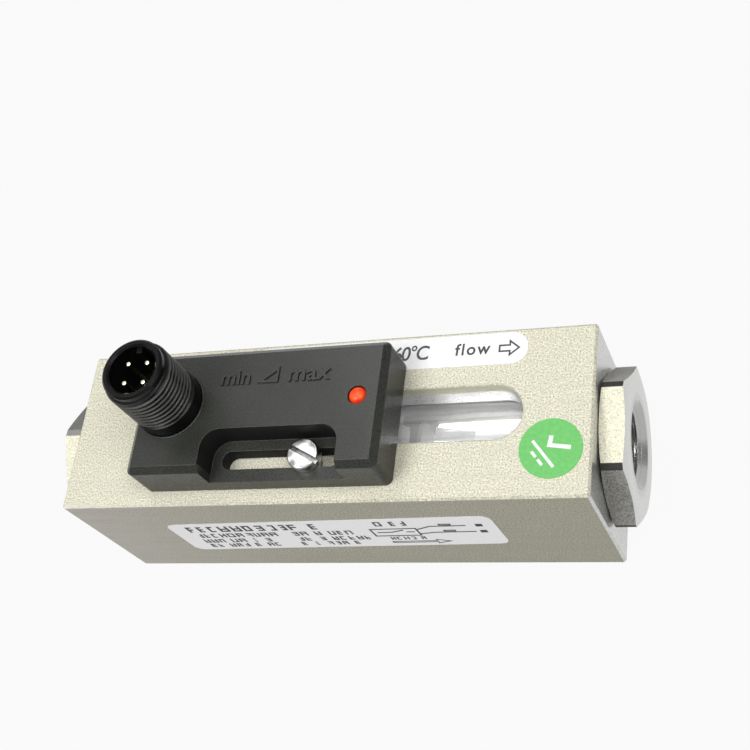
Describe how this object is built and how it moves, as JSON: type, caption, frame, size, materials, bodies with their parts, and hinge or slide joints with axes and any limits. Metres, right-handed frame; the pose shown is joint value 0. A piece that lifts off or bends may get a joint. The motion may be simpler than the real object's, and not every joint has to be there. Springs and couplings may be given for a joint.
{
  "type": "piston flow switch",
  "caption": "Square metal bar with threaded ports, a glass-tube window over a sprung magnet piston, and a sliding black reed-switch unit with lamp and round plug.",
  "frame": {"origin": "centre of the bar's bottom face", "axes": "+X along the flow from inlet to outlet, +Y away from the adjusting screw, +Z towards the window"},
  "size_m": [0.1032, 0.0301, 0.052],
  "materials": {
    "blasted_steel": "bead-blasted stainless steel",
    "turned_steel": "turned stainless steel",
    "tube_glass": "clear borosilicate glass",
    "piston_steel": "ground stainless steel",
    "magnet": "sintered magnet",
    "bush_plastic": "white bearing plastic",
    "spring_steel": "spring wire",
    "seal_rubber": "matte",
    "housing_plastic": "satin moulded plastic",
    "plug_plastic": "moulded plastic",
    "pin_gold": "gold plated",
    "board": "solder mask",
    "chip": "matte",
    "reed_glass": "green glass",
    "lead_wire": "tinned",
    "led_red": "clear red",
    "screw_steel": "bright nickel",
    "label_white": "printed film",
    "label_silver": "printed film",
    "label_green": "printed film"
  },
  "bodies": {
    "block": {"body_block": "blasted_steel", "inlet_fitting": "turned_steel", "outlet_fitting": "turned_steel", "glass_tube": "tube_glass", "inlet_seal": "seal_rubber", "outlet_seal": "seal_rubber", "inlet_sleeve": "turned_steel", "outlet_stop": "turned_steel", "guide_rod": "piston_steel", "return_spring": "spring_steel", "front_label": "label_silver", "flow_label": "label_white", "inspection_dot": "label_green"},
    "piston": {"piston": "piston_steel", "piston_magnet": "magnet", "piston_bush": "bush_plastic"},
    "switch": {"switch_housing": "housing_plastic", "housing_base": "housing_plastic", "circuit_board": "board", "series_resistor": "chip", "reed_switch": "reed_glass", "reed_leads": "lead_wire", "indicator_led": "led_red", "connector_barrel": "plug_plastic", "pin_carrier": "plug_plastic", "connector_pins": "pin_gold", "connector_seal": "seal_rubber"},
    "screw": {"clamp_screw": "screw_steel"}
  },
  "joints": [
    {"name": "piston_slide", "type": "slide", "parent": "block", "child": "piston", "axis": [1, 0, 0], "range_m": [0, 0.0095], "stiffness_N_per_m": 60, "springref_m": -0.01, "deforming": ["return_spring"]},
    {"name": "switch_adjust", "type": "slide", "parent": "block", "child": "switch", "axis": [1, 0, 0], "range_m": [-0.0043, 0.0139]},
    {"name": "clamp_screw_turn", "type": "hinge", "parent": "block", "child": "screw", "pos_m": [0.0008, -0.0084, 0.0332], "axis": [0, 0, 1], "range_deg": [0, 360]}
  ]
}
